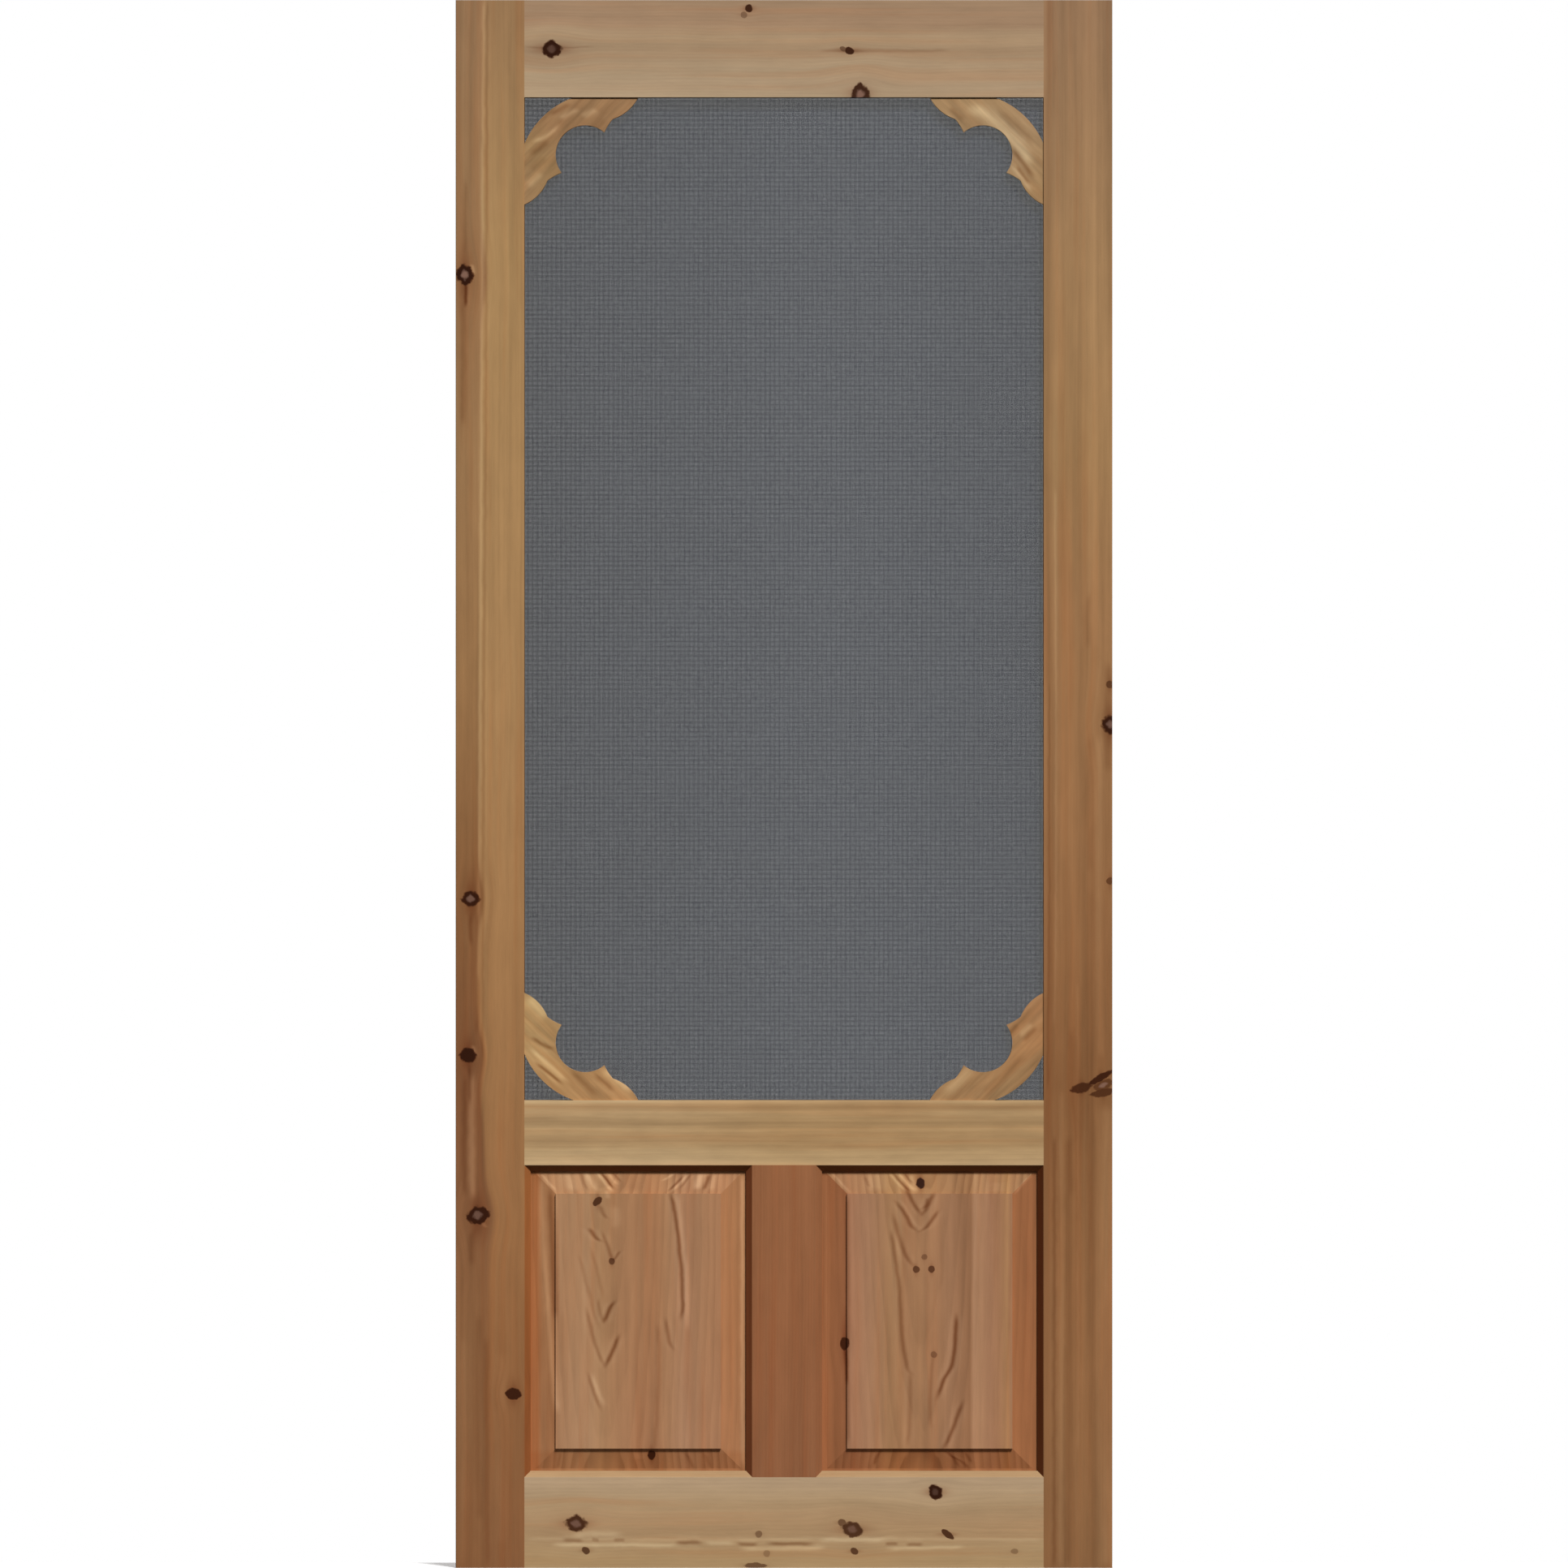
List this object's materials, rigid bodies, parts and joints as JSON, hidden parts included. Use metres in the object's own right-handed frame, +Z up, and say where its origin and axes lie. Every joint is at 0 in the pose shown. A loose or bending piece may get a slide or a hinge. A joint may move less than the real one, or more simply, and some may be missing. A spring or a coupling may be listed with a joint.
{
  "type": "wooden screen door",
  "caption": "Wooden screen door with a mortised frame, raised lower panels either side of a muntin, an insect screen held by beads, and scroll-cut corner brackets.",
  "frame": {"origin": "on the hinge edge, which is the outer edge of the left stile, at the bottom of the door and the middle of its thickness", "axes": "+X across the door away from the hinge edge, +Y from the front to the back, +Z up"},
  "size_m": [0.851, 0.0286, 2.032],
  "materials": {
    "frame_wood": "bare, sanded, knotty cedar",
    "rail_wood": "bare, sanded, pale knotty cedar",
    "muntin_wood": "bare, sanded, red cedar heartwood",
    "panel_wood": "bare, sanded cedar",
    "bracket_wood": "bare, sanded cedar with a bold grain",
    "screen_mesh": "charcoal woven fibreglass mesh"
  },
  "bodies": {
    "root": {"left_stile": "frame_wood", "right_stile": "frame_wood", "top_rail": "rail_wood", "lock_rail": "rail_wood", "bottom_rail": "rail_wood", "muntin": "muntin_wood", "left_panel": "panel_wood", "right_panel": "panel_wood", "insect_screen": "screen_mesh", "top_bead": "rail_wood", "bottom_bead": "rail_wood", "left_bead": "rail_wood", "right_bead": "rail_wood", "top_left_bracket": "bracket_wood", "top_right_bracket": "bracket_wood", "bottom_left_bracket": "bracket_wood", "bottom_right_bracket": "bracket_wood"}
  },
  "joints": []
}
